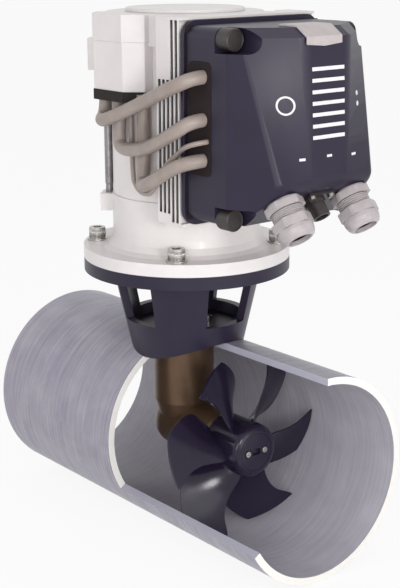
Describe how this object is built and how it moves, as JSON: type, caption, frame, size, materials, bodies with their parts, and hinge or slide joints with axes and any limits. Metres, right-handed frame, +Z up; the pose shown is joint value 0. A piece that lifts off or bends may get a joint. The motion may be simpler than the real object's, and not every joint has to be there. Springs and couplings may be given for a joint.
{
  "type": "underwater thruster",
  "caption": "Tunnel thruster: upright electric motor on a saddle over a cut-open hull tunnel, bronze leg with bevel drive and propeller inside, control box beside the motor.",
  "frame": {"origin": "where the motor and drive-shaft axis crosses the tunnel's axis; the tunnel mount's point lies there", "axes": "+Z up along the motor axis, +X along the tunnel towards its cut-open end and the control box, -Y is the side cut open"},
  "size_m": [0.414, 0.2045, 0.5195],
  "materials": {
    "tunnel_laminate": "satin, wound glass laminate",
    "navy_plastic": "satin",
    "navy_gloss_plastic": "gloss",
    "bronze": "cast, satin",
    "stainless_steel": "machined",
    "bearing_steel": "ground",
    "shaft_steel": "ground",
    "gear_steel": "cut and hardened",
    "coupling_steel": "machined",
    "core_steel": "stacked sheet",
    "magnet": "plated",
    "copper_winding": "enamelled wire",
    "white_paint": "satin",
    "seal_rubber": "matte",
    "spider_rubber": "matte",
    "black_plastic": "satin",
    "grey_plastic": "satin",
    "light_grey_plastic": "satin",
    "board_laminate": "satin",
    "capacitor_can": "satin",
    "lead_sheath": "satin"
  },
  "bodies": {
    "housing": {"tunnel_tube": "tunnel_laminate", "saddle_bracket": "navy_plastic", "leg_housing": "bronze", "gearcase_cap": "bronze", "gearcase_screws": "stainless_steel", "leg_bolts": "stainless_steel", "leg_lower_bearing": "bearing_steel", "leg_upper_bearing": "bearing_steel", "leg_shaft_seal": "seal_rubber", "prop_rear_bearing": "bearing_steel", "prop_front_bearing": "bearing_steel", "prop_shaft_seal": "seal_rubber", "motor_lower_bearing": "bearing_steel", "motor_upper_bearing": "bearing_steel", "motor_flange": "white_paint", "flange_bolts": "stainless_steel", "flange_washers": "stainless_steel", "stator_housing": "white_paint", "stator_core": "core_steel", "stator_windings": "copper_winding", "top_end_cap": "white_paint", "top_lid": "white_paint", "tie_rods": "stainless_steel", "terminal_cover": "white_paint", "terminal_base": "black_plastic", "heat_sink": "white_paint", "control_box_base": "navy_plastic", "box_gasket": "seal_rubber", "control_box_cover": "navy_plastic", "cover_knobs": "black_plastic", "cover_studs": "stainless_steel", "badge_clip": "grey_plastic", "cable_entry_plate": "seal_rubber", "gland_bodies": "light_grey_plastic", "gland_domes": "light_grey_plastic", "gland_seals": "seal_rubber", "gland_locknuts": "light_grey_plastic", "signal_connector": "black_plastic", "connector_screws": "stainless_steel", "circuit_board": "board_laminate", "board_spacers": "stainless_steel", "power_capacitors": "capacitor_can", "phase_lead_1": "lead_sheath", "phase_lead_2": "lead_sheath", "phase_lead_3": "lead_sheath", "sensor_lead": "lead_sheath"},
    "drive_line": {"rotor_core": "core_steel", "rotor_magnets": "magnet", "motor_shaft": "shaft_steel", "coupling_upper_half": "coupling_steel", "coupling_spider": "spider_rubber", "coupling_lower_half": "coupling_steel", "drive_shaft": "shaft_steel", "bevel_pinion": "gear_steel"},
    "propeller": {"propeller": "navy_gloss_plastic", "hub_cap": "navy_gloss_plastic", "hub_cap_screws": "stainless_steel", "prop_shaft": "shaft_steel", "bevel_wheel": "gear_steel"}
  },
  "joints": [
    {"name": "motor_spin", "type": "hinge", "parent": "housing", "child": "drive_line", "pos_m": [0, 0, 0], "axis": [0, 0, 1], "continuous": true},
    {"name": "propeller_spin", "type": "hinge", "parent": "housing", "child": "propeller", "pos_m": [0, 0, 0], "axis": [1, 0, 0], "continuous": true}
  ],
  "couplings": [
    {"joint": "propeller_spin", "follows": "motor_spin", "ratio": -0.68421}
  ]
}
